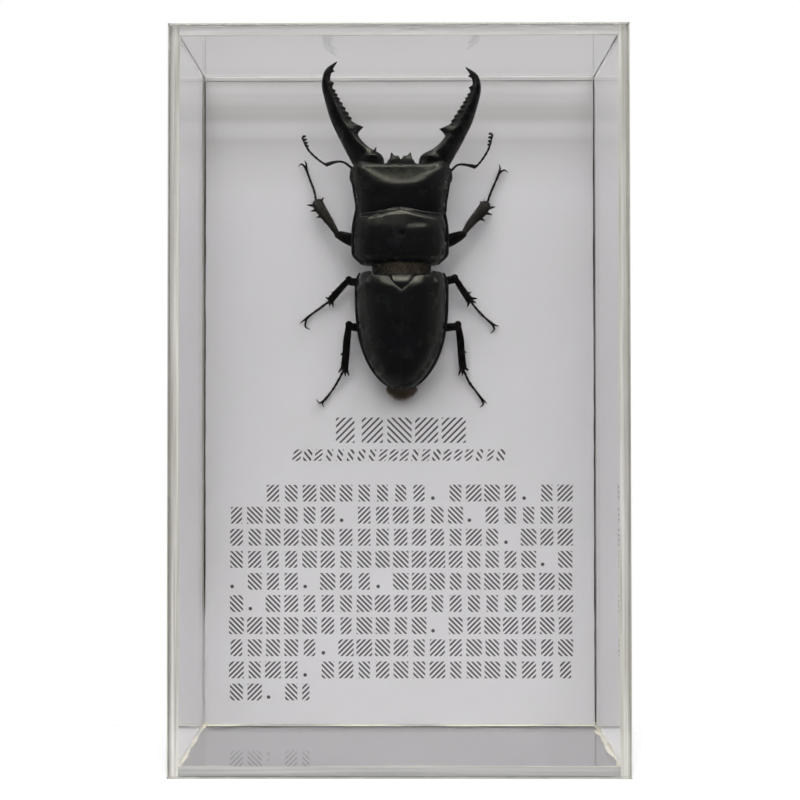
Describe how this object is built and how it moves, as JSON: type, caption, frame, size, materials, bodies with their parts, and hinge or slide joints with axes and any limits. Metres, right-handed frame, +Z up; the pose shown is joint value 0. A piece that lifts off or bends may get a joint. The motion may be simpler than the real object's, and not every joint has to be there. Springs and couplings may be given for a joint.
{
  "type": "stag beetle specimen in a clear display box",
  "caption": "Dried flat stag beetle mounted on a white card, sealed in a flat clear acrylic display box that stands upright.",
  "frame": {"origin": "middle of the box's base, on the surface it stands on", "axes": "+Z up along the box's height, +Y from the clear front panel to the back plate, +X to the right as seen from the front"},
  "size_m": [0.095, 0.028, 0.155],
  "materials": {
    "clear_acrylic": "clear cast acrylic sheet, polished faces, bonded joints",
    "white_card": "matt white card with a plain dark grey printed pattern",
    "black_chitin": "satin black beetle shell",
    "brown_chitin": "dark brown shell with fine hairs"
  },
  "bodies": {
    "root": {"front_panel": "clear_acrylic", "back_plate": "clear_acrylic", "left_wall": "clear_acrylic", "right_wall": "clear_acrylic", "top_wall": "clear_acrylic", "bottom_wall": "clear_acrylic", "card": "white_card", "head": "black_chitin", "pronotum": "black_chitin", "wing_case_left": "black_chitin", "wing_case_right": "black_chitin", "scutellum": "black_chitin", "hindbody": "brown_chitin", "jaw_left": "black_chitin", "jaw_right": "black_chitin", "antenna_left": "black_chitin", "antenna_right": "black_chitin", "fore_leg_left": "brown_chitin", "fore_leg_right": "brown_chitin", "mid_leg_left": "brown_chitin", "mid_leg_right": "brown_chitin", "hind_leg_left": "brown_chitin", "hind_leg_right": "brown_chitin"}
  },
  "joints": []
}
